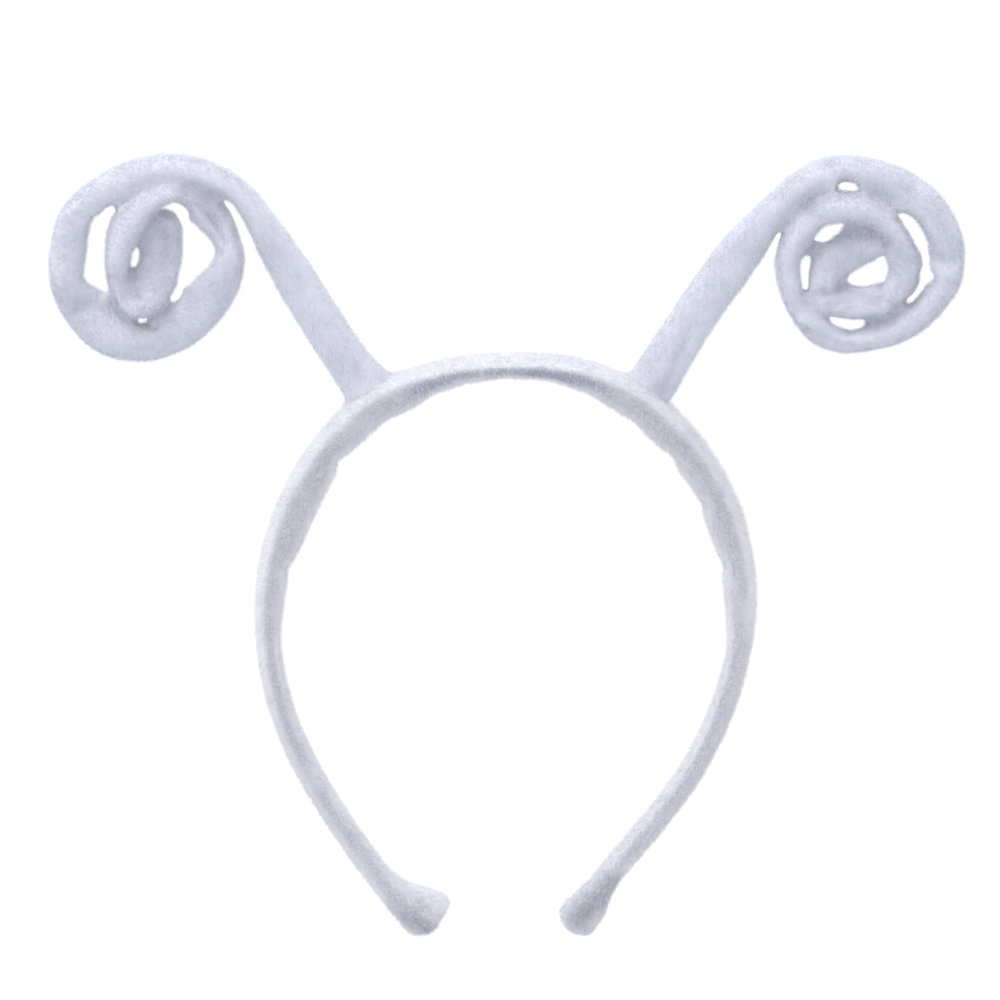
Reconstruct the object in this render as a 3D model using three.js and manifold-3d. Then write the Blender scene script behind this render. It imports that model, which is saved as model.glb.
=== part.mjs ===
// Antenna headband: a plush hoop with two plush antennae that curl into flat spirals.
// Millimetres. It lies on its back: Z is up, out of the hoop's plane, and Y runs from its ends to its crown
import * as THREE from "three";
import Module from "manifold-3d";

const wasm = await Module();
wasm.setup();

// Driving dimensions of the band
const BAND_WIDTH = 15;
const BAND_THICKNESS = 6.7;
const BAND_SIDES = 18;
const BAND_STEP = 3.8;
const BAND_EXPONENT = 2.6;
const CROWN = { x: 0.7, y: 51.5, heading: 1 };

// The band's centreline, from the crown down each side: tangent arcs, a positive turn bending to the left
const LEFT_SIDE = [
  { radius: 97, turn: 14.5 },
  { radius: 50, turn: 32.5 },
  { radius: 78, turn: 38 },
  { radius: 93, turn: 32 },
  { radius: 230, turn: 14.7 },
];
const RIGHT_SIDE = [
  { radius: 97, turn: -8.5 },
  { radius: 52, turn: -36.8 },
  { radius: 72, turn: -53.8 },
  { radius: 106, turn: -29 },
  { radius: 309, turn: -8.3 },
];

// The shoulders: distances from the crown between which the band is thicker on its inner side
const SHOULDER = { from: 8, full: 34, ebb: 84, to: 116, thicker: 2.9 };

// Gathers of the covering over the shoulders' inner side: lobes between pinches, from the crown down
const LEFT_GATHERS = [
  { from: 8, to: 24, bulge: 0.6 },
  { from: 24, to: 41, bulge: 1.6 },
  { from: 41, to: 58, bulge: 1.7 },
  { from: 58, to: 95, bulge: 2.1 },
  { from: 95, to: 117, bulge: 0.9 },
];
const RIGHT_GATHERS = [
  { from: 8, to: 26, bulge: 0.6 },
  { from: 26, to: 42, bulge: 1 },
  { from: 42, to: 55, bulge: 1.9 },
  { from: 55, to: 71.5, bulge: 1.3 },
  { from: 71.5, to: 94, bulge: 1.3 },
  { from: 94, to: 118, bulge: 1.6 },
];
const GATHER_BLUNTNESS = 0.5;
const GATHER_FRONT_SHARE = 0.55;

// The ends: each swells and twists over its last part, the left to show its inner face, the right its outer
const LEFT_END = { stretch: 22, twist: 52, widening: 1.15, thickening: 1.05 };
const RIGHT_END = { stretch: 24, twist: -46, widening: 1.15, thickening: 1.25 };
const END_ROUNDING = 3;

// Driving dimensions of the antennae: the sleeve keeps its girth, so it is deep where it is narrow
const SLEEVE_GIRTH = 22;
const SLEEVE_DEEPEST = 13;
const SLEEVE_THINNEST = 8.5;
const SLEEVE_EXPONENT = 2.2;
const SLEEVE_SIDES = 14;
const SLEEVE_STEP = 3.2;
const TIP_ROUNDING = 4;
const SEAT_GAP = 0.3;

// A rounded end: how much of the section is left at its tip, and where along its rounding the rings are
const TIP_SHARE = 0.44;
const ROUNDING_RINGS = [0, 0.15, 0.45];

// Each antenna from its base on the band to its tip. A row is an arc of the path that the spiral follows, and
// where that arc ends, how far the sleeve reaches inside and outside the path and how high its underside is
const LEFT_ANTENNA = {
  name: "left_antenna",
  base: { x: -40.2, y: 43.4, heading: 117, inside: 5.6, outside: 10, rise: 3 },
  arcs: [
    { radius: 448, turn: 1.1, inside: 6, outside: 7.2, rise: 2.8 },
    { radius: 448, turn: 1.9, inside: 6.8, outside: 5.8, rise: 2.4 },
    { radius: 448, turn: 2.6, inside: 6.2, outside: 5.4, rise: 1.6 },
    { radius: 448, turn: 2.4, inside: 3.2, outside: 4.4, rise: 0.6 },
    { radius: 26.5, turn: 45, inside: 3.3, outside: 3.7, rise: 0 },
    { radius: 29, turn: 45, inside: 6, outside: 4, rise: 0 },
    { radius: 30, turn: 22.5, inside: 4.4, outside: 5.6, rise: 0 },
    { radius: 30, turn: 22.5, inside: 6.5, outside: 4.9, rise: 0 },
    { radius: 25, turn: 20, inside: 5.8, outside: 4.8, rise: 0 },
    { radius: 25, turn: 25, inside: 9.6, outside: 4.8, rise: 0 },
    { radius: 16, turn: 45, inside: 5.8, outside: 6.1, rise: 0 },
    { radius: 24, turn: 45, inside: 6, outside: 6.9, rise: 0 },
    { radius: 31, turn: 22.5, inside: 6.8, outside: 6.8, rise: 0 },
    { radius: 31, turn: 22.5, inside: 3.4, outside: 5.2, rise: 0.4 },
    { radius: 16, turn: 22.5, inside: 5.4, outside: 3.7, rise: 0.7 },
    { radius: 16, turn: 22.5, inside: 7.1, outside: 4, rise: 1 },
    { radius: 17, turn: 45, inside: 3.5, outside: 2.9, rise: 2 },
    { radius: 6, turn: 45, inside: 2.3, outside: 3.4, rise: 2.4 },
    { radius: 28, turn: 25, inside: 3.2, outside: 6.8, rise: 2.6 },
    { radius: 28, turn: 25, inside: 2.7, outside: 4.4, rise: 2 },
    { radius: 24, turn: 20, inside: 4, outside: 3.5, rise: 1.2 },
    { radius: 4.5, turn: 150, inside: 4.2, outside: 5, rise: 0.6 },
    { radius: 60, turn: 7, inside: 6.2, outside: 6.2, rise: 0.5 },
    { radius: 60, turn: 7, inside: 6.3, outside: 6.6, rise: 0.4 },
    { radius: 90, turn: 6, inside: 2.2, outside: 5.4, rise: 0.4 },
  ],
};
const RIGHT_ANTENNA = {
  name: "right_antenna",
  base: { x: 40.1, y: 44.5, heading: 61, inside: 7, outside: 7.6, rise: 3 },
  arcs: [
    { radius: 424, turn: -3.2, inside: 6.4, outside: 6.8, rise: 2.4 },
    { radius: 424, turn: -3.2, inside: 6.8, outside: 6.2, rise: 1.6 },
    { radius: 424, turn: -1.6, inside: 5.4, outside: 4.3, rise: 0.8 },
    { radius: 33.5, turn: -22.5, inside: 3.8, outside: 4.2, rise: 0.2 },
    { radius: 33.5, turn: -11.25, inside: 3.8, outside: 5.4, rise: 0 },
    { radius: 33.5, turn: -11.25, inside: 3.7, outside: 4.5, rise: 0 },
    { radius: 21.5, turn: -22.5, inside: 5.4, outside: 3.6, rise: 0 },
    { radius: 21.5, turn: -22.5, inside: 6, outside: 4.5, rise: 0 },
    { radius: 32, turn: -22.5, inside: 4.4, outside: 6, rise: 0 },
    { radius: 32, turn: -22.5, inside: 5.4, outside: 5.6, rise: 0 },
    { radius: 16.3, turn: -20, inside: 4.1, outside: 4.8, rise: 0 },
    { radius: 16.3, turn: -25, inside: 4.5, outside: 3.8, rise: 0 },
    { radius: 27.3, turn: -22.5, inside: 4.1, outside: 3.8, rise: 0 },
    { radius: 27.3, turn: -22.5, inside: 3.7, outside: 3.5, rise: 0 },
    { radius: 19.6, turn: -22.5, inside: 2.1, outside: 4.9, rise: 0 },
    { radius: 19.6, turn: -22.5, inside: 3, outside: 5.4, rise: 0.2 },
    { radius: 24, turn: -22.5, inside: 3, outside: 3.8, rise: 0.4 },
    { radius: 24, turn: -22.5, inside: 3.9, outside: 3.3, rise: 0.8 },
    { radius: 16.6, turn: -45, inside: 5.2, outside: 3, rise: 1.4 },
    { radius: 15.6, turn: -45, inside: 4.6, outside: 4.6, rise: 2.2 },
    { radius: 17, turn: -45, inside: 3.4, outside: 4.8, rise: 2.4 },
    { radius: 17.5, turn: -22.5, inside: 3.9, outside: 4.7, rise: 2.3 },
    { radius: 17.5, turn: -22.5, inside: 5.1, outside: 5.4, rise: 2 },
    { radius: 9, turn: -45, inside: 3.3, outside: 6.3, rise: 1.4 },
    { radius: 16, turn: -45, inside: 4.5, outside: 5.4, rise: 0.8 },
    { radius: 36, turn: -8, inside: 4.8, outside: 4.3, rise: 0.6 },
    { radius: 5.6, turn: -75, inside: 5, outside: 4.6, rise: 0.5 },
    { radius: 5.6, turn: -75, inside: 5.2, outside: 7, rise: 0.4 },
    { radius: 300, turn: -1.5, inside: 5.8, outside: 8, rise: 0 },
    { radius: 300, turn: -1.5, inside: 3.9, outside: 5, rise: 0 },
  ],
};

// Materials
const PLUSH_WHITE = 0xe4e5ef;
const PLUSH_ROUGHNESS = 0.95;

const radians = THREE.MathUtils.degToRad;
const smoothstep = THREE.MathUtils.smoothstep;
const BAND_SECTION = ovalSection(BAND_SIDES, BAND_EXPONENT);
const SLEEVE_SECTION = ovalSection(SLEEVE_SIDES, SLEEVE_EXPONENT);

// A path of tangent arcs: a positive turn bends to the left
function arcPath(start, rows) {
  const path = new THREE.CurvePath();
  const corner = new THREE.Vector2(start.x, start.y);
  let heading = radians(start.heading);
  for (const { radius, turn } of rows) {
    const first = heading - Math.sign(turn) * Math.PI / 2;
    const last = first + radians(turn);
    const centre = new THREE.Vector2(Math.cos(first), Math.sin(first)).multiplyScalar(-radius).add(corner);
    path.add(new THREE.EllipseCurve(centre.x, centre.y, radius, radius, first, last, turn < 0));
    corner.set(Math.cos(last), Math.sin(last)).multiplyScalar(radius).add(centre);
    heading += radians(turn);
  }
  return path;
}

// The point at a distance along a path, with the direction to the left of it
function stationOn(path, distance) {
  const share = THREE.MathUtils.clamp(distance / path.getLength(), 0, 1);
  const tangent = path.getTangent(share);
  const point = path.getPoint(share);
  return { point: new THREE.Vector3(point.x, point.y, 0), left: new THREE.Vector3(-tangent.y, tangent.x, 0) };
}

// A rounded oval of a number of sides that reaches from -1 to 1 both ways, flat at its top and underside
function ovalSection(sides, exponent) {
  const power = (value) => Math.sign(value) * Math.abs(value) ** (2 / exponent);
  const angles = Array.from({ length: sides }, (_, side) => side / sides * 2 * Math.PI);
  const tallest = Math.max(...angles.map((angle) => power(Math.sin(angle))));
  return angles.map((angle) => ({ across: power(Math.cos(angle)), up: power(Math.sin(angle)) / tallest }));
}

// How far the band's section reaches outward from its middle when it is turned
function reach(halfThick, halfWide, turn) {
  const corners = BAND_SECTION.map(({ across, up }) => {
    return across * halfThick * Math.cos(turn) + up * halfWide * Math.sin(turn);
  });
  return Math.max(...corners);
}

// How far a rounded end has grown at a distance from its tip, as a share of the full section
function endShare(distance, rounding) {
  const short = Math.max(0, 1 - distance / rounding);
  return Math.sqrt(1 - (1 - TIP_SHARE ** 2) * short ** 2);
}

// Distances from 0 to a length: even steps, with closer ones on the roundings at either end
function stations(length, step, roundings) {
  const list = [];
  const [first, last] = roundings;
  for (const share of ROUNDING_RINGS) {
    list.push(first * share, length - last * share);
  }
  const count = Math.ceil((length - first - last) / step);
  for (let index = 0; index <= count; index++) {
    list.push(first + (length - first - last) * index / count);
  }
  return [...new Set(list)].sort((a, b) => a - b);
}

// A closed skin over rings of points, with a fan of triangles over each end
function skin(rings) {
  const sides = rings[0].length;
  const last = (rings.length - 1) * sides;
  const points = rings.flat();
  const triangles = [];
  for (let ring = 0; ring < last; ring += sides) {
    for (let side = 0; side < sides; side++) {
      const a = ring + side;
      const b = ring + (side + 1) % sides;
      triangles.push(a, b, b + sides, a, b + sides, a + sides);
    }
  }
  for (let side = 1; side + 1 < sides; side++) {
    triangles.push(0, side + 1, side, last, last + side, last + side + 1);
  }
  const geometry = new THREE.BufferGeometry().setFromPoints(points);
  geometry.setIndex(triangles);
  return geometry;
}

// How far the shoulder and its gathers reach inward at a distance from the crown
function innerBulge(gathers, distance) {
  const { from, full, ebb, to, thicker } = SHOULDER;
  const shoulder = thicker * smoothstep(distance, from, full) * (1 - smoothstep(distance, ebb, to));
  const gather = gathers.find((row) => distance > row.from && distance < row.to);
  if (!gather) return shoulder;
  const share = (distance - gather.from) / (gather.to - gather.from);
  return shoulder + gather.bulge * Math.sin(Math.PI * share) ** GATHER_BLUNTNESS;
}

// The band from its left end over the crown to its right end, grown all round by a margin
function bandGeometry(margin) {
  const leftStart = { ...CROWN, heading: CROWN.heading + 180 };
  const left = { path: arcPath(leftStart, LEFT_SIDE), gathers: LEFT_GATHERS, end: LEFT_END, hand: -1 };
  const right = { path: arcPath(CROWN, RIGHT_SIDE), gathers: RIGHT_GATHERS, end: RIGHT_END, hand: 1 };
  const leftLength = left.path.getLength();
  const length = leftLength + right.path.getLength();
  const rings = stations(length, BAND_STEP, [END_ROUNDING, END_ROUNDING]).map((distance) => {
    const side = distance < leftLength ? left : right;
    return bandRing(side, Math.abs(distance - leftLength), margin);
  });
  return skin(rings);
}

// One section of the band. Where it twists, its middle shifts so that one edge of the band runs on straight
function bandRing({ path, gathers, end, hand }, fromCrown, margin) {
  const station = stationOn(path, fromCrown);
  const toEnd = path.getLength() - fromCrown;
  const ending = 1 - smoothstep(toEnd, 0, end.stretch);
  const share = endShare(toEnd, END_ROUNDING);
  const turn = radians(end.twist) * ending;
  const halfThick = BAND_THICKNESS / 2 * THREE.MathUtils.lerp(1, end.thickening, ending);
  const halfWide = BAND_WIDTH / 2 * THREE.MathUtils.lerp(1, end.widening, ending);
  const shift = Math.sign(end.twist) * (reach(halfThick, halfWide, Math.abs(turn)) - halfThick);
  const height = Math.max(BAND_WIDTH / 2, reach(halfThick, halfWide, Math.PI / 2 - Math.abs(turn)));
  const bulge = innerBulge(gathers, fromCrown);
  return BAND_SECTION.map((corner) => {
    const inner = Math.max(0, -corner.across);
    const front = Math.max(0, corner.up);
    const gathered = bulge * inner * (1 - (1 - GATHER_FRONT_SHARE) * front);
    const across = corner.across * (halfThick * share + margin) - gathered;
    const along = corner.up * (halfWide * share + margin);
    const out = across * Math.cos(turn) + along * Math.sin(turn) - shift;
    const up = along * Math.cos(turn) - across * Math.sin(turn) + height;
    return station.point.clone().addScaledVector(station.left, hand * out).setZ(up);
  });
}

// The columns of an antenna's table as smooth functions of the distance along it
function tableCurve(antenna) {
  const rows = [antenna.base, ...antenna.arcs];
  const distances = [];
  let distance = 0;
  for (const { radius = 0, turn = 0 } of rows) {
    distance += radius * radians(Math.abs(turn));
    distances.push(distance);
  }
  const values = rows.flatMap(({ inside, outside, rise }) => [inside, outside, rise]);
  const curve = new THREE.CubicInterpolant(distances, values, 3);
  return (at) => {
    const [inside, outside, rise] = curve.evaluate(THREE.MathUtils.clamp(at, 0, distance));
    return { inside, outside, rise: Math.max(0, rise) };
  };
}

// The sleeve of one antenna, from the middle of the band to its rounded tip
function sleeveGeometry(antenna) {
  const path = arcPath(antenna.base, antenna.arcs);
  const hand = Math.sign(antenna.arcs[0].turn);
  const table = tableCurve(antenna);
  const length = path.getLength();
  const distances = stations(length, SLEEVE_STEP, [0, TIP_ROUNDING]);
  const rings = distances.map((distance) => {
    const { point, left } = stationOn(path, distance);
    const { inside, outside, rise } = table(distance);
    const share = endShare(length - distance, TIP_ROUNDING);
    const across = inside + outside;
    const deep = THREE.MathUtils.clamp(SLEEVE_GIRTH - across, SLEEVE_THINNEST, SLEEVE_DEEPEST);
    const middle = hand * (inside - outside) / 2;
    return SLEEVE_SECTION.map((corner) => {
      const aside = middle + corner.across * across / 2 * share;
      const up = rise + deep / 2 + corner.up * deep / 2 * share;
      return point.clone().addScaledVector(left, aside).setZ(up);
    });
  });
  return skin(rings);
}

// Solids for cutting, and back
function solidFrom(geometry) {
  const vertProperties = new Float32Array(geometry.attributes.position.array);
  const triVerts = new Uint32Array(geometry.index.array);
  return new wasm.Manifold(new wasm.Mesh({ numProp: 3, vertProperties, triVerts }));
}

function geometryFrom(solid) {
  const { vertProperties, triVerts } = solid.getMesh();
  const geometry = new THREE.BufferGeometry();
  geometry.setAttribute("position", new THREE.BufferAttribute(vertProperties, 3));
  geometry.setIndex(new THREE.BufferAttribute(triVerts, 1));
  return geometry;
}

function plushMesh(name, geometry) {
  geometry.computeVertexNormals();
  const plush = { color: PLUSH_WHITE, roughness: PLUSH_ROUGHNESS, metalness: 0 };
  const mesh = new THREE.Mesh(geometry, new THREE.MeshStandardMaterial(plush));
  mesh.name = name;
  return mesh;
}

// The assembly: each antenna's base is cut to sit on the band
const headband = new THREE.Group();
headband.add(plushMesh("band", bandGeometry(0)));
const seat = solidFrom(bandGeometry(SEAT_GAP));
for (const antenna of [LEFT_ANTENNA, RIGHT_ANTENNA]) {
  const sleeve = solidFrom(sleeveGeometry(antenna));
  headband.add(plushMesh(antenna.name, geometryFrom(sleeve.subtract(seat))));
}

// The origin is the middle of the box's underside
const box = new THREE.Box3().setFromObject(headband);
const middle = box.getCenter(new THREE.Vector3());
headband.position.set(-middle.x, -middle.y, -box.min.z);

export default headband;
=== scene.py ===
import heapq
import math

import bmesh
import bpy
import numpy as np
from mathutils import Matrix, Vector, noise
from mathutils.bvhtree import BVHTree
from mathutils.kdtree import KDTree


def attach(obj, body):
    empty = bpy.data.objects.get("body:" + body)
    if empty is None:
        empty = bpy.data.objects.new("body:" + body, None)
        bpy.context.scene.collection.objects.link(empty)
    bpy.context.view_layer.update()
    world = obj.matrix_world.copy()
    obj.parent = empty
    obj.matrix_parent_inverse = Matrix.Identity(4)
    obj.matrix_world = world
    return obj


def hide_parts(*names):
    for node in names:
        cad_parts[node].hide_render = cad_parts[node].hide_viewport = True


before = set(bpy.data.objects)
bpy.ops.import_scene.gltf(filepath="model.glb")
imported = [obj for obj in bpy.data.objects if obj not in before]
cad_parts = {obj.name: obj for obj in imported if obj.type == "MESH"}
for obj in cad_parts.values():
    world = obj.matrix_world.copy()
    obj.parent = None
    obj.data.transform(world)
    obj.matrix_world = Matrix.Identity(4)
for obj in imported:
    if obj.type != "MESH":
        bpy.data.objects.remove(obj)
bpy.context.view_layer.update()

MM = 0.001
TINY = 1e-12
SEED = 7204

# The photograph's view: 1000 pixels span 280 mm, seen from 13 degrees off the hoop's own axis
VIEW_CENTRE = Vector((-1.9, 13.68, 7.5)) * MM
VIEW_TILT = math.radians(13)
VIEW_SPAN = 280 * MM
VIEW_PIXELS = 1000
VIEW_DISTANCE = 8.0
SENSOR = 36

# Skins: each solid's surface, smoothed and drawn in so that the pile ends near the solid's own surface
WELD = 0.002 * MM
QUAD_ANGLE = math.radians(70)
SKIN_LEVELS = 2
PILE_BED = 0.35 * MM
SLACK_HEIGHT = 0.22 * MM
SLACK_SIZE = 7 * MM

# Two kinds of plush: the stuffing's fill, the pile's length in mm, lean in degrees and tufts, and its whites
PLUSH = {
    "band_plush": {
        "fill": 0.7,
        "length": 0.9,
        "lean": 58,
        "tuft": 0.3,
        "whites": ((0.84, 0.84, 0.885), (0.895, 0.895, 0.93)),
    },
    "antenna_plush": {
        "fill": 0.6,
        "length": 0.85,
        "lean": 68,
        "tuft": 0.1,
        "whites": ((0.83, 0.84, 0.915), (0.885, 0.895, 0.96)),
    },
}

# Tables of places: px is read off the photograph at one of two levels above the floor, and sizes are in mm
TOP_LEVEL = 11 * MM
GAP_LEVEL = VIEW_CENTRE.z
FACING_UP = (-0.3, 0.4)

# Folds of the covering, as lines on the side that faces up: a crease has a negative height
FOLDS = {
    "band": [
        {"px": [(341, 462), (322, 456)], "width": 1.6, "height": -0.6},
        {"px": [(288, 571), (280, 560)], "width": 1.6, "height": -0.5},
        {"px": [(674, 459), (690, 471), (703, 490)], "width": 1.5, "height": -0.6},
        {"px": [(704, 504), (716, 522), (722, 545)], "width": 1.5, "height": -0.5},
        {"px": [(727, 564), (734, 590), (736, 630)], "width": 1.5, "height": -0.4},
    ],
    "left_antenna": [
        {"px": [(80, 288), (104, 296)], "width": 2.2, "height": 0.5},
        {"px": [(84, 309), (106, 312)], "width": 3.0, "height": -0.5},
        {"px": [(187, 202), (202, 206), (213, 222), (219, 238)], "width": 4.2, "height": -2.8},
        {"px": [(140, 200), (165, 184), (195, 177), (220, 188)], "width": 2.0, "height": 0.6},
        {"px": [(117, 260), (126, 235), (147, 210), (169, 193)], "width": 2.2, "height": 0.8},
        {"px": [(124, 280), (127, 298)], "width": 2.6, "height": -1.0},
        {"px": [(122, 310), (135, 322), (160, 325), (176, 312)], "width": 2.2, "height": 0.5},
        {"px": [(157, 220), (164, 240), (168, 262)], "width": 2.4, "height": -0.9},
        {"px": [(132, 355), (152, 351), (174, 343)], "width": 2.4, "height": -0.6},
        {"px": [(66, 228), (84, 214)], "width": 2.0, "height": -0.5},
        {"px": [(368, 366), (372, 384)], "width": 1.8, "height": 0.4},
    ],
    "right_antenna": [
        {"px": [(818, 163), (845, 178)], "width": 3.2, "height": -1.3},
        {"px": [(901, 188), (906, 192)], "width": 2.0, "height": -0.8},
        {"px": [(808, 211), (817, 217)], "width": 3.4, "height": -1.6},
        {"px": [(870, 238), (886, 244)], "width": 2.6, "height": -1.0},
        {"px": [(793, 242), (793, 262), (797, 284)], "width": 2.0, "height": 0.6},
        {"px": [(822, 292), (878, 295)], "width": 1.8, "height": -1.7},
        {"px": [(824, 308), (850, 312), (882, 309)], "width": 2.0, "height": 1.0},
        {"px": [(895, 208), (920, 218), (936, 238), (946, 256)], "width": 1.8, "height": 0.8},
        {"px": [(930, 260), (951, 259)], "width": 2.0, "height": -0.5},
        {"px": [(932, 271), (952, 272)], "width": 1.8, "height": 0.5},
        {"px": [(803, 319), (840, 334), (872, 339)], "width": 1.6, "height": 0.9},
        {"px": [(806, 329), (830, 340), (852, 344)], "width": 1.6, "height": -0.9},
        {"px": [(689, 330), (674, 368), (661, 397)], "width": 1.6, "height": -0.5},
        {"px": [(676, 334), (662, 366), (648, 388)], "width": 2.4, "height": 0.4},
    ],
}

# Turns that lie side by side swell until they touch, except around the gaps between them
PRESS_REACH = 4.2 * MM
PRESS_OVERLAP = 0.1 * MM
PRESS_ROUNDS = 2
PRESS_FACING = -0.3
PRESS_SMOOTHING = 3
GAP_OPEN = 0.8
GAP_SHUT = 1.5
OPEN_GAPS = [
    {"px": (100, 285), "radius": 3.5},
    {"px": (106, 214), "radius": 3.5},
    {"px": (132, 257), "radius": 3.2},
    {"px": (146, 323), "radius": 2.6},
    {"px": (168, 204), "radius": 3.0},
    {"px": (180, 214), "radius": 3.2},
    {"px": (215, 253), "radius": 3.0},
    {"px": (176, 298), "radius": 2.5},
    {"px": (231, 209), "radius": 3.0},
    {"px": (238, 223), "radius": 3.5},
    {"px": (245, 240), "radius": 4.0},
    {"px": (848, 186), "radius": 3.2},
    {"px": (905, 222), "radius": 3.5},
    {"px": (918, 240), "radius": 4.5},
    {"px": (927, 270), "radius": 5.0},
    {"px": (914, 295), "radius": 3.5},
    {"px": (834, 226), "radius": 1.6},
    {"px": (803, 266), "radius": 2.8},
    {"px": (803, 281), "radius": 2.8},
    {"px": (855, 281), "radius": 2.5},
    {"px": (881, 264), "radius": 2.5},
    {"px": (879, 284), "radius": 2.5},
    {"px": (846, 322), "radius": 5.0},
    {"px": (772, 245), "radius": 4.5},
]

# Where turns touch, their pile closes over the seam: the skin there is fused and smoothed
FUSE_SIZE = 0.45 * MM
FUSE_SMOOTHING = 7

# Corners of gaps, notches and ends: lines that push the skin away, or draw it in. Under adds push lower down
UNDERCUT_HEIGHTS = (9.5 * MM, 4 * MM)
UNDERCUT_REACH = 2
CORNERS = {
    "band": [
        {"px": [(345, 465), (346, 466)], "reach": 4.5, "push": 1.1},
        {"px": [(292, 572), (293, 573)], "reach": 4.0, "push": 0.6},
        {"px": [(669, 461), (670, 462)], "reach": 4.0, "push": 0.7},
        {"px": [(700, 506), (701, 507)], "reach": 4.0, "push": 0.7},
        {"px": [(718, 567), (719, 568)], "reach": 4.2, "push": 0.7},
        {"px": [(572, 921), (577, 925)], "reach": 4.4, "push": 1.2},
        {"px": [(600, 938), (603, 935)], "reach": 4.4, "push": 0.9},
        {"px": [(424, 921), (428, 923)], "reach": 4.2, "push": 1.2},
        {"px": [(406, 918), (408, 921)], "reach": 3.4, "push": 0.5},
    ],
    "left_antenna": [
        {"px": [(137, 320), (155, 325)], "reach": 2.6, "push": 1.1},
        {"px": [(108, 212), (112, 209)], "reach": 2.6, "push": 0.8},
        {"px": [(96, 222), (97, 226)], "reach": 2.8, "push": 0.7},
        {"px": [(88, 281), (92, 284)], "reach": 3.4, "push": 1.1},
        {"px": [(101, 226), (98, 272)], "reach": 4.0, "push": 0.2, "under": 1.6},
        {"px": [(104, 286), (105, 289)], "reach": 2.4, "push": 0.7},
        {"px": [(213, 252), (217, 253)], "reach": 2.4, "push": 0.7},
        {"px": [(132, 248), (133, 266)], "reach": 2.8, "push": 0.0, "under": 0.8},
    ],
    "right_antenna": [
        {"px": [(835, 318), (859, 323)], "reach": 3.2, "push": 0.7, "under": 1.6},
        {"px": [(846, 326), (848, 328)], "reach": 2.4, "push": 0.8},
        {"px": [(899, 216), (903, 218)], "reach": 2.4, "push": 0.6},
        {"px": [(928, 276), (931, 279)], "reach": 2.2, "push": 0.6},
        {"px": [(907, 302), (910, 299)], "reach": 2.2, "push": 0.6},
        {"px": [(874, 276), (880, 282)], "reach": 3.0, "push": 1.1},
        {"px": [(880, 260), (882, 259)], "reach": 2.2, "push": 0.5},
        {"px": [(850, 282), (853, 281)], "reach": 2.2, "push": 0.6},
        {"px": [(811, 246), (820, 238)], "reach": 2.8, "push": -1.4},
        {"px": [(842, 187), (856, 189)], "reach": 2.4, "push": -0.1, "under": 1.6},
        {"px": [(803, 262), (804, 288)], "reach": 2.6, "push": 0.35, "under": 1.2},
        {"px": [(908, 224), (921, 246)], "reach": 3.0, "push": 0.8, "under": 1.2},
        {"px": [(923, 250), (925, 266)], "reach": 3.4, "push": -0.5, "under": 1.2},
        {"px": [(923, 275), (928, 279)], "reach": 3.0, "push": 0.7, "under": 1.0},
        {"px": [(862, 277), (878, 270)], "reach": 3.2, "push": 0.2, "under": 1.4},
        {"px": [(825, 236), (834, 228)], "reach": 2.6, "push": 0.1, "under": 1.2},
        {"px": [(829, 228), (831, 229)], "reach": 2.4, "push": 0.7},
    ],
}

# Each antenna's base spreads onto the band and is sunk a little into its skin, which rises toward it
ROOT_REACH = 4.5 * MM
ROOT_DEPTH = 0.4 * MM
ROOT_RISE = 1.2 * MM
ROOT_SPREAD = {"left_antenna": 2.6 * MM, "right_antenna": 1.9 * MM}

# The nap: it runs down from the middle of the crown, and down each antenna to its base
NAP_SMOOTHING = 12
CROWN_HALF = 3 * MM
BASE_LENGTH = 8 * MM

# The band's front edge, where the pile parts. It turns toward another side at the band's twisted ends
HOOP_MIDDLE = (0, -20 * MM, 0)
FRONT_LEAN = math.radians(16)
FRONT_TWIST = math.radians(25)
FRONT_ENDS = [
    {"hand": -1, "toward": (-0.75, -0.66, 0)},
    {"hand": 1, "toward": (-0.78, 0.62, 0)},
]
TWIST_FROM = -95 * MM
TWIST_TO = -111 * MM

# How far the pile parts there: most at the crown, in patches, and little at the ends. The same amount sets
# the painted shade that greys the parting
PARTING_FROM = 0.72
PARTING_FULL = 1.0
PARTING_SMOOTHING = 4
PARTING_SIDES = 0.75
PARTING_CROWN = 1.9
CROWN_REACH = (12 * MM, 34 * MM)
PARTING_ENDS = (-88 * MM, -102 * MM)
PARTING_ENDS_LOSS = 0.75
PATCH_SIZE = 9 * MM
PATCH_RANGE = (-1.1, 0.2)

# Parted pile lies toward the back, is shorter, stands up and strays, in degrees, and a share of it is painted
# grey as painted shade
PARTING_LEAN = 0.75
PARTING_LENGTH = 0.8
PARTING_RISE = 15
PARTING_TURN = 25
PARTED_SHARE = 0.45

# Where the band's pile has parted elsewhere, and is greyed there with painted shade
PARTED = [
    {"px": [(352, 836), (366, 854), (379, 876), (393, 893), (417, 917)], "width": 1.6, "share": 0.7},
    {"px": [(640, 842), (623, 859), (607, 877), (583, 902)], "width": 1.6, "share": 0.6},
]

# Where the plush is painted evenly greyer: painted shade on the band's legs and ends and on the antennas'
# turns that face away from the key light
PAINTED_SHADE_ROWS = {
    "band": [
        {"px": [(744, 640), (733, 700), (711, 750), (678, 800), (638, 850)], "width": 2.2, "share": 0.4},
        {"px": [(279, 700), (300, 750), (327, 800), (365, 850), (384, 876)], "width": 2.4, "share": 0.25},
        {"px": [(394, 900), (410, 916), (426, 930)], "width": 2.4, "share": 0.6},
        {"px": [(416, 914), (432, 925)], "width": 4.2, "share": 0.42},
        {"px": [(613, 879), (600, 894), (587, 907), (582, 913)], "width": 3.6, "share": 0.95},
    ],
    "left_antenna": [
        {"px": [(158, 216), (165, 240), (163, 268), (154, 302)], "width": 4.0, "share": 0.16},
        {"px": [(188, 195), (206, 203), (214, 222), (218, 236)], "width": 2.5, "share": 0.22},
    ],
    "right_antenna": [
        {"px": [(850, 242), (868, 237), (884, 240)], "width": 3.0, "share": 0.16},
    ],
}

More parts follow.
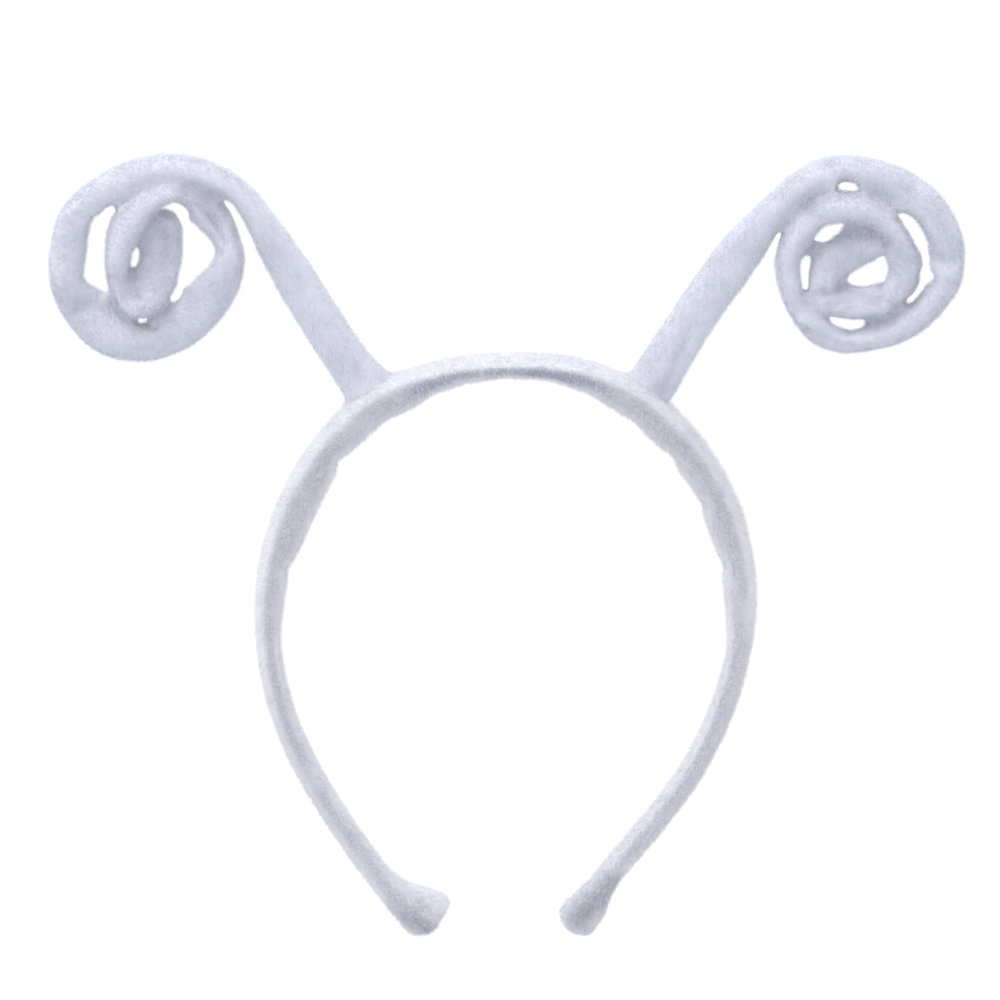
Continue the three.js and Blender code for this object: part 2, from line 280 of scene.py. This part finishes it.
# Where the pile stands longer
SHAGGY = {
    "band": [
        {"px": [(688, 422), (706, 450), (724, 484), (738, 522)], "width": 2.5, "share": 1.0},
    ],
    "left_antenna": [],
    "right_antenna": [],
}

# Where turns face each other across a gap, the pile is shorter, and its colour is whitened with painted light
# that stands in for light reaching into the gap
CROWD_START = 0.2 * MM
CROWD_REACH = 6 * MM
CROWD_SMOOTHING = 3
CROWD_SHORTENING = 0.8

# Pile: fibres that stand off each skin and lean along its nap. Spreads of angles are in degrees
FIBRES = 190_000
FIBRE_WIDTH = 0.14 * MM
TUFT_SHARE = 0.05
LENGTH_SPREAD = 0.16
LENGTH_LEAST = 0.4
LENGTH_MOST = 1.7
LEAN_SPREAD = 6
TURN_SPREAD = 14
ROLL_SPREAD = 8

# Fuzz: the share of finer, longer fibres that stand out of the nap and are rolled any way
FUZZ_SHARE = 0.5
FUZZ_LENGTH = 1.75
FUZZ_WIDTH = 0.4
FUZZ_RISE = 30
FUZZ_ROLL = 90

# Plush materials: linear colours, and noises in cycles for each metre
# Grey of painted shade, where the pile parts and along the rows of painted shade
PARTED_SHADE_GREY = (0.42, 0.415, 0.50)
# Near-white of painted light, whitening the plush where turns crowd together across a gap
GAP_LIGHT_WHITE = (0.97, 0.97, 0.985)
# The backing under the pile is painted a little darker: painted shade beneath the fibres
BACKING_PAINTED_SHADE = 0.95
BACKING_BUMP = 0.3
PILE_BUMP = 0.0
BUMP_DEPTH = 0.3 * MM
SHEEN = 0.8
SHEEN_ROUGHNESS = 0.6
SHEEN_TINT = (0.95, 0.95, 1.0, 1.0)
SPECULAR = 0.15
CLOUD_SCALE = 160
CLOUD_RANGE = (0.3, 0.62)
GRAIN_SCALE = 1500
GRAIN_RANGE = (0.3, 0.65)
PLUSH_DETAIL = 3
SPECKS = (0.35, 1.0)
ROUGHNESS = (0.82, 1.0)

# The floor: paper that glows evenly and reflects little, so that it stays white with only faint shadows
FLOOR_HALF = 30.0
FLOOR_TONES = ((0.15, 0.15, 0.152), (0.17, 0.17, 0.172))
FLOOR_GLOW = 1.0
FLOOR_ROUGHNESS = 0.9
PAPER_SCALE = 40
PAPER_DETAIL = 4
PAPER_RANGE = (0.3, 0.7)

# Light: a soft key from beyond the crown, over an even surround
KEY_PLACE = (-0.45, 1.28, 0.66)
KEY_SIZE = 0.9
KEY_POWER = 9.5
KEY_COLOUR = (1.0, 0.985, 0.95)
SURROUND = 0.76
SURROUND_COLOUR = (0.93, 0.95, 1.0, 1)


def new_object(name, data):
    made = bpy.data.objects.new(name, data)
    bpy.context.scene.collection.objects.link(made)
    return made


def vertex_values(mesh, source, field):
    values = np.empty(len(mesh.vertices) * 3, np.float32)
    source.foreach_get(field, values)
    return values.reshape(-1, 3).astype(float)


def points_of(mesh):
    return vertex_values(mesh, mesh.vertices, "co")


def normals_of(mesh):
    return vertex_values(mesh, mesh.vertex_normals, "vector")


def edges_of(mesh):
    ends = np.empty(len(mesh.edges) * 2, np.int32)
    mesh.edges.foreach_get("vertices", ends)
    return ends.reshape(-1, 2)


def tree_of(mesh):
    return BVHTree.FromPolygons(points_of(mesh), [list(face.vertices) for face in mesh.polygons])


def set_points(mesh, points):
    mesh.vertices.foreach_set("co", points.astype(np.float32).ravel())
    mesh.update()


def set_attribute(mesh, name, values):
    layer = mesh.attributes.new(name, "FLOAT", "POINT")
    layer.data.foreach_set("value", values.astype(np.float32))


def unit(vectors):
    return vectors / np.maximum(np.linalg.norm(vectors, axis=1, keepdims=True), TINY)


def dot(a, b):
    return (a * b).sum(1)


# The part of each direction that lies in the surface
def tangent(directions, normals):
    return unit(directions - normals * dot(directions, normals)[:, None])


def smoothstep(low, high, values):
    share = np.clip((values - low) / (high - low), 0, 1)
    return share * share * (3 - 2 * share)


# The place in the frame that a pixel of the photograph shows at a level above the floor
def photo_place(pixel, level):
    scale = VIEW_SPAN / VIEW_PIXELS
    aside = (pixel[0] - VIEW_PIXELS / 2) * scale
    upward = (VIEW_PIXELS / 2 - pixel[1]) * scale + (level - VIEW_CENTRE.z) * math.sin(VIEW_TILT)
    return np.array([VIEW_CENTRE.x + aside, VIEW_CENTRE.y + upward / math.cos(VIEW_TILT)])


# The offset of each place, in plan, from the nearest point of a straight line
def offset_from(places, start, end):
    along = end - start
    share = np.clip(((places - start) @ along) / (along @ along), 0, 1)
    return places - start - share[:, None] * along


# How near each place is to a row's line on the side that faces up, from 1 on it to 0 well away from it
def nearness(places, row):
    line = [photo_place(pixel, TOP_LEVEL) for pixel in row["px"]]
    nearest = np.full(len(places), math.inf)
    for start, end in zip(line, line[1:]):
        nearest = np.minimum(nearest, np.linalg.norm(offset_from(places, start, end), axis=1))
    return np.exp(-(nearest / (row["width"] * MM)) ** 2)


# The sum of one column over the rows of a table, each spread beside its line, on the side that faces up
def beside_lines(mesh, rows, column):
    points, normals = points_of(mesh), normals_of(mesh)
    total = np.zeros(len(points))
    for row in rows:
        total += row[column] * nearness(points[:, :2], row)
    return total * smoothstep(*FACING_UP, normals[:, 2])


# The mean of a value over each vertex and its neighbours
def neighbour_mean(values, ends):
    total, count = values.copy(), np.ones(len(values))
    for a, b in (ends.T, ends.T[::-1]):
        np.add.at(total, a, values[b])
        np.add.at(count, a, 1)
    return total / count.reshape(-1, *[1] * (values.ndim - 1))


def smoothed(values, mesh, rounds):
    ends = edges_of(mesh)
    for _ in range(rounds):
        values = neighbour_mean(values, ends)
    return values


# A soft noise at each point, about as wide as a size
def unevenness(points, size):
    return np.array([noise.noise(Vector(point) / size) for point in points])


# Gives an object the mesh that its modifiers make
def replace_by_result(made):
    before = made.data
    graph = bpy.context.evaluated_depsgraph_get()
    result = bpy.data.meshes.new_from_object(made.evaluated_get(graph))
    made.modifiers.clear()
    made.data = result
    bpy.data.meshes.remove(before)
    result.name = made.name
    result.shade_smooth()


# A node's surface as smooth quads in an object of its own, drawn in to make room for the pile
def soft_skin(node_name):
    name = node_name + "_plush"
    shape = bmesh.new()
    shape.from_mesh(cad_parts[node_name].data)
    bmesh.ops.remove_doubles(shape, verts=shape.verts, dist=WELD)
    limits = {"angle_face_threshold": QUAD_ANGLE, "angle_shape_threshold": QUAD_ANGLE}
    bmesh.ops.join_triangles(shape, faces=shape.faces, **limits)
    rough = bpy.data.meshes.new(name + "_rough")
    shape.to_mesh(rough)
    shape.free()
    skin = new_object(name, rough)
    rounding = skin.modifiers.new("rounding", "SUBSURF")
    rounding.levels = SKIN_LEVELS
    rounding.render_levels = SKIN_LEVELS
    replace_by_result(skin)
    set_points(skin.data, points_of(skin.data) - normals_of(skin.data) * PILE_BED)
    return skin


# Swells the surfaces that face each other across a narrow gap until they touch
def press_together(mesh):
    points, normals, tree = points_of(mesh), normals_of(mesh), tree_of(mesh)
    share = np.ones(len(points))
    for gap in OPEN_GAPS:
        away = np.linalg.norm(points[:, :2] - photo_place(gap["px"], GAP_LEVEL), axis=1)
        share *= smoothstep(GAP_OPEN * gap["radius"] * MM, GAP_SHUT * gap["radius"] * MM, away)
    swell = np.zeros(len(points))
    for index in np.flatnonzero(share):
        normal = Vector(normals[index])
        start = Vector(points[index]) + normal * PRESS_OVERLAP
        place, facing, _, distance = tree.ray_cast(start, normal, PRESS_REACH)
        if place is not None and facing.dot(normal) < PRESS_FACING:
            swell[index] = distance / 2 + PRESS_OVERLAP
    swell = smoothed(swell, mesh, PRESS_SMOOTHING)
    set_points(mesh, points + normals * (swell * share)[:, None])


# Fuses the turns of a pressed skin where they touch, and carries the nap over to the new surface
def fuse(skin, nap):
    tree = KDTree(len(nap))
    for index, point in enumerate(points_of(skin.data)):
        tree.insert(point, index)
    tree.balance()
    joining = skin.modifiers.new("joining", "REMESH")
    joining.mode = "VOXEL"
    joining.voxel_size = FUSE_SIZE
    replace_by_result(skin)
    mesh = skin.data
    points = points_of(mesh)
    nearest = [tree.find(point)[1] for point in points]
    set_points(mesh, smoothed(points, mesh, FUSE_SMOOTHING))
    return tangent(nap[nearest], normals_of(mesh))


# Pushes the surface away, in plan, from the lines at the corners, or draws it to them
def shape_corners(mesh, corners):
    points = points_of(mesh)
    for row in corners:
        start, end = (photo_place(pixel, GAP_LEVEL) for pixel in row["px"])
        away = offset_from(points[:, :2], start, end)
        distance = np.linalg.norm(away, axis=1)
        under = row.get("under", 0) * smoothstep(*UNDERCUT_HEIGHTS, points[:, 2])
        reach = (row["reach"] + UNDERCUT_REACH * under) * MM
        push = (row["push"] + under) * MM * (1 - smoothstep(0, 1, distance / reach))
        push = np.maximum(push, -distance)
        points[:, :2] += away * (push / np.maximum(distance, TINY))[:, None]
    set_points(mesh, points)


# Raises and sinks the folds on the side of a skin that faces up
def fold(mesh, folds):
    height = beside_lines(mesh, folds, "height") * MM
    set_points(mesh, points_of(mesh) + normals_of(mesh) * height[:, None])


# The slight unevenness of a stuffed sleeve
def slacken(mesh):
    points = points_of(mesh)
    height = unevenness(points, SLACK_SIZE) * SLACK_HEIGHT
    set_points(mesh, points + normals_of(mesh) * height[:, None])


# Spreads an antenna's base outward over the skin that carries it, and sinks its rim a little into that
def root_into(mesh, tree, spread):
    points, normals = points_of(mesh), normals_of(mesh)
    for index, point in enumerate(points):
        place, facing, _, distance = tree.find_nearest(Vector(point), ROOT_REACH)
        if place is None:
            continue
        near = 1 - distance / ROOT_REACH
        normal = Vector(normals[index])
        moved = Vector(point) + (normal - facing * normal.dot(facing)) * spread * near ** 2
        place, facing, _, _ = tree.find_nearest(moved)
        above = (moved - place).dot(facing)
        points[index] = moved - facing * (above + ROOT_DEPTH) * smoothstep(0, 1, near)
    set_points(mesh, points)


# Raises a skin in a soft ramp around the solids that stand on it
def rise_toward(mesh, node_names):
    points, normals = points_of(mesh), normals_of(mesh)
    for node_name in node_names:
        tree = tree_of(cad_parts[node_name].data)
        for index, point in enumerate(points):
            distance = tree.find_nearest(Vector(point), ROOT_REACH)[3]
            if distance is not None:
                points[index] += normals[index] * ROOT_RISE * (1 - distance / ROOT_REACH) ** 2
    set_points(mesh, points)


# How far each vertex is along the surface from the nearest source vertex
def surface_distance(mesh, sources):
    points, ends = points_of(mesh), edges_of(mesh)
    lengths = np.linalg.norm(points[ends[:, 0]] - points[ends[:, 1]], axis=1)
    beside = [[] for _ in points]
    for (a, b), length in zip(ends.tolist(), lengths.tolist()):
        beside[a].append((b, length))
        beside[b].append((a, length))
    distance = [math.inf] * len(points)
    queue = [(0.0, int(source)) for source in sources]
    for _, source in queue:
        distance[source] = 0.0
    while queue:
        reached, vertex = heapq.heappop(queue)
        if reached > distance[vertex]:
            continue
        for other, length in beside[vertex]:
            if reached + length < distance[other]:
                distance[other] = reached + length
                heapq.heappush(queue, (reached + length, other))
    return np.array(distance)


# The direction along the surface in which a distance grows, smoothed over the neighbours
def growth_direction(mesh, distance):
    points, normals, ends = points_of(mesh), normals_of(mesh), edges_of(mesh)
    a, b = ends[:, 0], ends[:, 1]
    edge = points[b] - points[a]
    slope = (distance[b] - distance[a]) / np.maximum((edge ** 2).sum(1), TINY)
    direction = np.zeros_like(points)
    np.add.at(direction, a, edge * slope[:, None])
    np.add.at(direction, b, edge * slope[:, None])
    for _ in range(NAP_SMOOTHING):
        direction = neighbour_mean(tangent(direction, normals), ends)
    return tangent(direction, normals)


# Which way the band's front edge faces beside each point: up, and a little toward the hoop's middle
def front_direction(points):
    inward = (np.array(HOOP_MIDDLE) - points) * (1, 1, 0)
    front = np.array([0.0, 0.0, math.cos(FRONT_LEAN)]) + unit(inward) * math.sin(FRONT_LEAN)
    for end in FRONT_ENDS:
        share = smoothstep(TWIST_FROM, TWIST_TO, points[:, 1]) * (points[:, 0] * end["hand"] > 0)
        turn = FRONT_TWIST * share[:, None]
        front = front * np.cos(turn) + np.array(end["toward"]) * np.sin(turn)
    return front


# How far the band's pile has parted at each point, along the front edge and beside other lines; this also
# sets how much painted shade greys it
def band_parting(mesh, front):
    points = points_of(mesh)
    parting = smoothstep(PARTING_FROM, PARTING_FULL, dot(normals_of(mesh), front))
    parting = smoothed(parting, mesh, PARTING_SMOOTHING)
    aside = np.where(points[:, 1] > 0, np.abs(points[:, 0]), CROWN_REACH[1])
    strength = PARTING_CROWN + (PARTING_SIDES - PARTING_CROWN) * smoothstep(*CROWN_REACH, aside)
    parting *= smoothstep(*PATCH_RANGE, unevenness(points, PATCH_SIZE)) * strength
    parting *= 1 - PARTING_ENDS_LOSS * smoothstep(*PARTING_ENDS, points[:, 1])
    return np.maximum(parting, beside_lines(mesh, PARTED, "share"))


# The band's nap runs down from the crown, and away from the front edge where the pile parts
def band_nap(mesh):
    points = points_of(mesh)
    crown = np.flatnonzero((np.abs(points[:, 0]) < CROWN_HALF) & (points[:, 1] > 0))
    down = growth_direction(mesh, surface_distance(mesh, crown))
    front = front_direction(points)
    parting = band_parting(mesh, front)
    share = (parting * PARTING_LEAN)[:, None]
    return unit(down * (1 - share) + tangent(-front, normals_of(mesh)) * share), parting


# An antenna's nap runs down to its base
def antenna_nap(mesh):
    along = points_of(mesh)[:, 1]
    base = np.flatnonzero(along < along.min() + BASE_LENGTH)
    return -growth_direction(mesh, surface_distance(mesh, base))


# The band's skin, with its notches and folds, and its nap and parting
def band_skin():
    skin = soft_skin("band")
    mesh = skin.data
    shape_corners(mesh, CORNERS["band"])
    fold(mesh, FOLDS["band"])
    rise_toward(mesh, ROOT_SPREAD)
    nap, parting = band_nap(mesh)
    slacken(mesh)
    return skin, nap, parting


# An antenna's skin, with its turns fused, its folds and its base on the band, and its nap and parting
def antenna_skin(node_name, band):
    skin = soft_skin(node_name)
    for _ in range(PRESS_ROUNDS):
        press_together(skin.data)
    nap = fuse(skin, antenna_nap(skin.data))
    mesh = skin.data
    shape_corners(mesh, CORNERS[node_name])
    fold(mesh, FOLDS[node_name])
    root_into(mesh, tree_of(band.data), ROOT_SPREAD[node_name])
    slacken(mesh)
    return skin, nap, np.zeros(len(nap))


# How near each point is to a part of the same skin that faces it, from 0 at the full reach to 1
def crowding_of(mesh):
    points, normals, tree = points_of(mesh), normals_of(mesh), tree_of(mesh)
    near = np.zeros(len(points))
    for index, (point, normal) in enumerate(zip(points, normals)):
        outward = Vector(normal)
        distance = tree.ray_cast(Vector(point) + outward * CROWD_START, outward, CROWD_REACH)[3]
        if distance is not None:
            near[index] = 1 - distance / CROWD_REACH
    return smoothed(near, mesh, CROWD_SMOOTHING)


# Random places spread evenly over a skin, with the skin's normal, nap and fields there
def places_on(mesh, nap, fields, rng):
    mesh.calc_loop_triangles()
    corners = np.empty(len(mesh.loop_triangles) * 3, np.int32)
    mesh.loop_triangles.foreach_get("vertices", corners)
    corners = corners.reshape(-1, 3)
    points, normals = points_of(mesh), normals_of(mesh)
    p = points[corners]
    area = np.linalg.norm(np.cross(p[:, 1] - p[:, 0], p[:, 2] - p[:, 0]), axis=1)
    picked = corners[rng.choice(len(corners), FIBRES, p=area / area.sum())]
    share = rng.random((FIBRES, 2))
    over = share.sum(1) > 1
    share[over] = 1 - share[over]
    weight = np.column_stack([1 - share.sum(1), share])
    place, normal, along = [(values[picked] * weight[:, :, None]).sum(1) for values in (points, normals, nap)]
    there = {name: (field[picked] * weight).sum(1) for name, field in fields.items()}
    return place, unit(normal), unit(along), there


# The direction in which each fibre grows: along the nap, leaning off the skin
def fibre_direction(normal, along, parting, fuzzy, lean, rng):
    turn = np.radians(rng.normal(0, TURN_SPREAD + parting * PARTING_TURN))[:, None]
    rise = fuzzy * FUZZ_RISE + parting * PARTING_RISE
    tilt = np.radians(rng.normal(lean - rise, LEAN_SPREAD))[:, None]
    level = along * np.cos(turn) + np.cross(normal, along) * np.sin(turn)
    return normal * np.cos(tilt) + level * np.sin(tilt)


def fibre_length(length, fields, fuzzy, rng):
    spread = np.clip(rng.normal(1, LENGTH_SPREAD, FIBRES), LENGTH_LEAST, LENGTH_MOST)
    grown = length * MM * spread * np.where(fuzzy, FUZZ_LENGTH, 1)
    grown *= 1 - fields["parting"] * (1 - PARTING_LENGTH)
    return grown * (1 - fields["crowding"] * CROWD_SHORTENING + fields["shaggy"])


# Draws the tips of neighbouring fibres together into tufts
def drawn_together(root, tip, pull, rng):
    leaders = np.sort(rng.choice(FIBRES, int(FIBRES * TUFT_SHARE), replace=False))
    tree = KDTree(len(leaders))
    for index, leader in enumerate(leaders):
        tree.insert(root[leader], index)
    tree.balance()
    nearest = leaders[[tree.find(place)[1] for place in root]]
    toward = pull * rng.random((FIBRES, 1))
    return tip * (1 - toward) + tip[nearest] * toward


# The direction across each fibre's blade: nearly level in the nap, rolled any way in the fuzz
def blade_direction(grow, normal, fuzzy, rng):
    any_way = rng.uniform(-FUZZ_ROLL, FUZZ_ROLL, FIBRES)
    near_level = rng.normal(0, ROLL_SPREAD, FIBRES)
    roll = np.radians(np.where(fuzzy, any_way, near_level))[:, None]
    level = unit(np.cross(grow, normal))
    return level * np.cos(roll) + np.cross(level, grow) * np.sin(roll)


# The fibres of a skin as one mesh: a narrow tapering blade for each, shaded by its own face
def pile_mesh(name, mesh, nap, fields, kind, rng):
    root, normal, along, there = places_on(mesh, nap, fields, rng)
    fuzzy = rng.random(FIBRES) < FUZZ_SHARE
    grow = fibre_direction(normal, along, there["parting"], fuzzy, kind["lean"], rng)
    length = fibre_length(kind["length"], there, fuzzy, rng)
    tip = drawn_together(root, root + grow * length[:, None], kind["tuft"], rng)
    across = blade_direction(grow, normal, fuzzy, rng)
    half = across * FIBRE_WIDTH / 2 * np.where(fuzzy, FUZZ_WIDTH, 1)[:, None]
    points = np.stack([root - half, root + half, tip], 1).reshape(-1, 3)
    points[:, 2] = np.maximum(points[:, 2], 0)
    pile = bpy.data.meshes.new(name)
    pile.from_pydata(points, [], np.arange(len(points)).reshape(-1, 3), shade_flat=False)
    shading = unit(np.cross(across, grow))
    pile.normals_split_custom_set_from_vertices(np.repeat(shading, 3, axis=0))
    # The fibres' grey is painted shade: a share of the parted fibres, and the rows of painted shade
    grey = np.maximum(there["parting"] * (rng.random(FIBRES) < PARTED_SHARE), there["painted_shade"])
    set_attribute(pile, "parting", np.repeat(grey, 3))
    # The crowding also whitens the fibres: painted light in the gaps
    set_attribute(pile, "crowding", np.repeat(there["crowding"], 3))
    return new_object(name, pile)


def node(tree, kind, **values):
    made = tree.nodes.new("ShaderNode" + kind)
    for name, value in values.items():
        if name in made.inputs:
            made.inputs[name].default_value = value
        else:
            setattr(made, name, value)
    return made


def attribute(tree, name):
    return node(tree, "Attribute", attribute_name=name).outputs["Fac"]


def noise_texture(tree, scale, detail):
    texture = node(tree, "TexNoise", Scale=scale, Detail=detail)
    tree.links.new(node(tree, "TexCoord").outputs["Object"], texture.inputs["Vector"])
    return texture.outputs["Fac"]


# Two colours, the first below a range of a factor and the second above it
def two_tones(tree, factor, tones, ends):
    ramp = node(tree, "ValToRGB")
    for element, position, colour in zip(ramp.color_ramp.elements, ends, tones):
        element.position = position
        element.color = (*colour, 1)
    tree.links.new(factor, ramp.inputs["Fac"])
    return ramp.outputs["Color"]


# A value carried over from one range to another
def ranged(tree, value, source, target):
    limits = dict(zip(("From Min", "From Max", "To Min", "To Max"), (*source, *target)))
    carried = node(tree, "MapRange", **limits)
    tree.links.new(value, carried.inputs["Value"])
    return carried.outputs["Result"]


# A colour turned toward another by a factor
def turned_toward(tree, factor, colour, other):
    mix = node(tree, "MixRGB", Color2=(*other, 1))
    tree.links.new(factor, mix.inputs["Fac"])
    tree.links.new(colour, mix.inputs["Color1"])
    return mix.outputs["Color"]


# Clouded white, whitened with painted light where turns crowd together, and grainy grey painted shade where
# the pile parts and along the rows of painted shade
def plush_colour(tree, cloud, grain, whites):
    white = two_tones(tree, cloud, whites, CLOUD_RANGE)
    gap_lit = turned_toward(tree, attribute(tree, "crowding"), white, GAP_LIGHT_WHITE)
    grey = node(tree, "Math", operation="MULTIPLY")
    tree.links.new(ranged(tree, grain, GRAIN_RANGE, SPECKS), grey.inputs[0])
    tree.links.new(attribute(tree, "parting"), grey.inputs[1])
    return turned_toward(tree, grey.outputs["Value"], gap_lit, PARTED_SHADE_GREY)


def plush_material(name, whites, bump):
    material = bpy.data.materials.new(name)
    material.use_nodes = True
    tree = material.node_tree
    shader = tree.nodes["Principled BSDF"]
    shader.inputs["Sheen Weight"].default_value = SHEEN
    shader.inputs["Sheen Roughness"].default_value = SHEEN_ROUGHNESS
    shader.inputs["Sheen Tint"].default_value = SHEEN_TINT
    shader.inputs["Specular IOR Level"].default_value = SPECULAR
    cloud = noise_texture(tree, CLOUD_SCALE, PLUSH_DETAIL)
    grain = noise_texture(tree, GRAIN_SCALE, PLUSH_DETAIL)
    tree.links.new(plush_colour(tree, cloud, grain, whites), shader.inputs["Base Color"])
    tree.links.new(ranged(tree, cloud, (0, 1), ROUGHNESS), shader.inputs["Roughness"])
    relief = node(tree, "Bump", Strength=bump, Distance=BUMP_DEPTH)
    tree.links.new(grain, relief.inputs["Height"])
    tree.links.new(relief.outputs["Normal"], shader.inputs["Normal"])
    return material


# One piece: the soft skin that stands for a node, and the pile on it
def plush_piece(node_name, slot, skin, nap, parting, rng):
    mesh, kind = skin.data, PLUSH[slot]
    fields = {
        "parting": parting,
        # Rows of painted shade, where the plush is greyed as light falls off
        "painted_shade": beside_lines(mesh, PAINTED_SHADE_ROWS[node_name], "share"),
        "shaggy": beside_lines(mesh, SHAGGY[node_name], "share"),
        "crowding": crowding_of(mesh),
    }
    pile = pile_mesh(node_name + "_pile", mesh, nap, fields, kind, rng)
    # The skin's grey is painted shade: the parting, and the rows of painted shade
    set_attribute(mesh, "parting", np.maximum(parting, fields["painted_shade"]))
    # The crowding also whitens the skin: painted light in the gaps
    set_attribute(mesh, "crowding", fields["crowding"])
    # The backing is painted a little darker than the pile: painted shade beneath the fibres
    shaded = np.array(kind["whites"]) * BACKING_PAINTED_SHADE
    mesh.materials.clear()
    mesh.materials.append(plush_material(node_name + "_backing", shaded, BACKING_BUMP))
    pile.data.materials.append(plush_material(node_name + "_pile", kind["whites"], PILE_BUMP))
    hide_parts(node_name)
    for piece in (skin, pile):
        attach(piece, "root")
    return skin


def key_light():
    lamp = bpy.data.lights.new("key", "AREA")
    lamp.shape = "DISK"
    lamp.size = KEY_SIZE
    lamp.energy = KEY_POWER
    lamp.color = KEY_COLOUR
    key = new_object("key", lamp)
    key.location = KEY_PLACE
    key.rotation_euler = (-Vector(KEY_PLACE)).to_track_quat("-Z", "Y").to_euler()


def floor_material():
    material = bpy.data.materials.new("floor")
    material.use_nodes = True
    tree = material.node_tree
    shader = tree.nodes["Principled BSDF"]
    shader.inputs["Roughness"].default_value = FLOOR_ROUGHNESS
    shader.inputs["Emission Color"].default_value = (1, 1, 1, 1)
    shader.inputs["Emission Strength"].default_value = FLOOR_GLOW
    paper = noise_texture(tree, PAPER_SCALE, PAPER_DETAIL)
    tree.links.new(two_tones(tree, paper, FLOOR_TONES, PAPER_RANGE), shader.inputs["Base Color"])
    return material


def studio():
    scene = bpy.context.scene
    scene.view_settings.view_transform = "Standard"
    world = bpy.data.worlds.new("studio")
    scene.world = world
    world.use_nodes = True
    surround = world.node_tree.nodes["Background"]
    surround.inputs["Color"].default_value = SURROUND_COLOUR
    surround.inputs["Strength"].default_value = SURROUND
    key_light()
    mesh = bpy.data.meshes.new("floor")
    corners = [(x * FLOOR_HALF, y * FLOOR_HALF, 0) for x, y in ((-1, -1), (1, -1), (1, 1), (-1, 1))]
    mesh.from_pydata(corners, [], [(0, 1, 2, 3)])
    mesh.materials.append(floor_material())
    new_object("floor", mesh)


def photo_camera():
    lens = bpy.data.cameras.new("camera")
    lens.sensor_width = SENSOR
    lens.lens = SENSOR * VIEW_DISTANCE / VIEW_SPAN
    camera = new_object("camera", lens)
    back = Vector((0, math.sin(VIEW_TILT), math.cos(VIEW_TILT)))
    right = Vector((1, 0, 0))
    turned = Matrix((right, back.cross(right), back)).transposed().to_4x4()
    camera.matrix_world = Matrix.Translation(VIEW_CENTRE + back * VIEW_DISTANCE) @ turned
    bpy.context.scene.camera = camera


photo_camera()
studio()
draws = np.random.default_rng(SEED)
band = plush_piece("band", "band_plush", *band_skin(), draws)
for antenna in ("left_antenna", "right_antenna"):
    plush_piece(antenna, "antenna_plush", *antenna_skin(antenna, band), draws)
